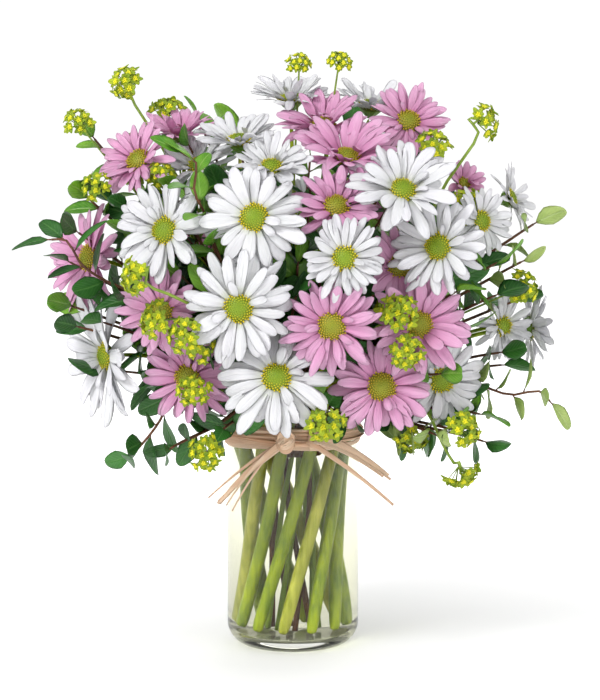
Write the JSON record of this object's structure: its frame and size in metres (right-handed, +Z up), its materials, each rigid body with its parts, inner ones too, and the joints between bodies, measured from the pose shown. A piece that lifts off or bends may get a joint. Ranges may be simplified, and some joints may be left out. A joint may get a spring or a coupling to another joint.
{
  "type": "daisy bouquet in a glass vase",
  "caption": "White and pink spray daisies with glossy leaf twigs and yellow umbels, standing in water in a straight clear glass vase with a raffia tie.",
  "frame": {"origin": "centre of the vase's flat foot, on the surface that it stands on", "axes": "+Z up along the vase's axis, +X to the right seen from the front, -Y towards the front of the bouquet"},
  "size_m": [0.3056, 0.2021, 0.3568],
  "materials": {
    "clear_glass": "clear, polished, with a faint green tint",
    "water": "clear liquid",
    "raffia": "dry leaf strip, matte with lengthwise fibres",
    "white_petal": "soft matte petals round a yellow-green disc",
    "pink_petal": "soft matte petals round a yellow-green disc",
    "glossy_leaf": "waxy, glossy leaves on red-brown twigs",
    "yellow_umbel": "matte yellow bracts on thin green stalks",
    "green_stem": "fresh green stem, satin"
  },
  "bodies": {
    "root": {"vase": "clear_glass", "raffia_band": "raffia", "raffia_knot": "raffia", "raffia_tail": "raffia", "white_daisy_c2": "white_petal", "white_daisy_b1": "white_petal", "pink_daisy_j1": "pink_petal", "white_daisy_c1": "white_petal", "white_daisy_a1": "white_petal", "pink_daisy_i1": "pink_petal", "pink_daisy_h1": "pink_petal", "white_daisy_a2": "white_petal", "pink_daisy_j3": "pink_petal", "white_daisy_d2": "white_petal", "pink_daisy_j2": "pink_petal", "white_daisy_d1": "white_petal", "white_daisy_e4": "white_petal", "pink_daisy_h3": "pink_petal", "white_daisy_e2": "white_petal", "pink_daisy_i2": "pink_petal", "pink_daisy_j6": "pink_petal", "pink_daisy_h2": "pink_petal", "pink_daisy_j4": "pink_petal", "white_daisy_f3": "white_petal", "white_daisy_b3": "white_petal", "white_daisy_a4": "white_petal", "white_daisy_c3": "white_petal", "white_daisy_b2": "white_petal", "white_daisy_d3": "white_petal", "pink_daisy_i3": "pink_petal", "white_daisy_a3": "white_petal", "pink_daisy_g3": "pink_petal", "pink_daisy_g1": "pink_petal", "white_daisy_e1": "white_petal", "pink_daisy_g2": "pink_petal", "white_daisy_e3": "white_petal", "white_daisy_f2": "white_petal", "pink_daisy_i4": "pink_petal", "pink_daisy_j5": "pink_petal", "white_daisy_d4": "white_petal", "white_daisy_f1": "white_petal", "white_stem_a": "green_stem", "white_stem_b": "green_stem", "white_stem_c": "green_stem", "white_stem_d": "green_stem", "white_stem_e": "green_stem", "white_stem_f": "green_stem", "pink_stem_g": "green_stem", "pink_stem_h": "green_stem", "pink_stem_i": "green_stem", "pink_stem_j": "green_stem", "myrtle_twig_1": "glossy_leaf", "myrtle_twig_2": "glossy_leaf", "myrtle_twig_3": "glossy_leaf", "myrtle_twig_4": "glossy_leaf", "bupleurum_1": "yellow_umbel", "bupleurum_2": "yellow_umbel", "bupleurum_3": "yellow_umbel", "bupleurum_4": "yellow_umbel", "water": "water"}
  },
  "joints": []
}
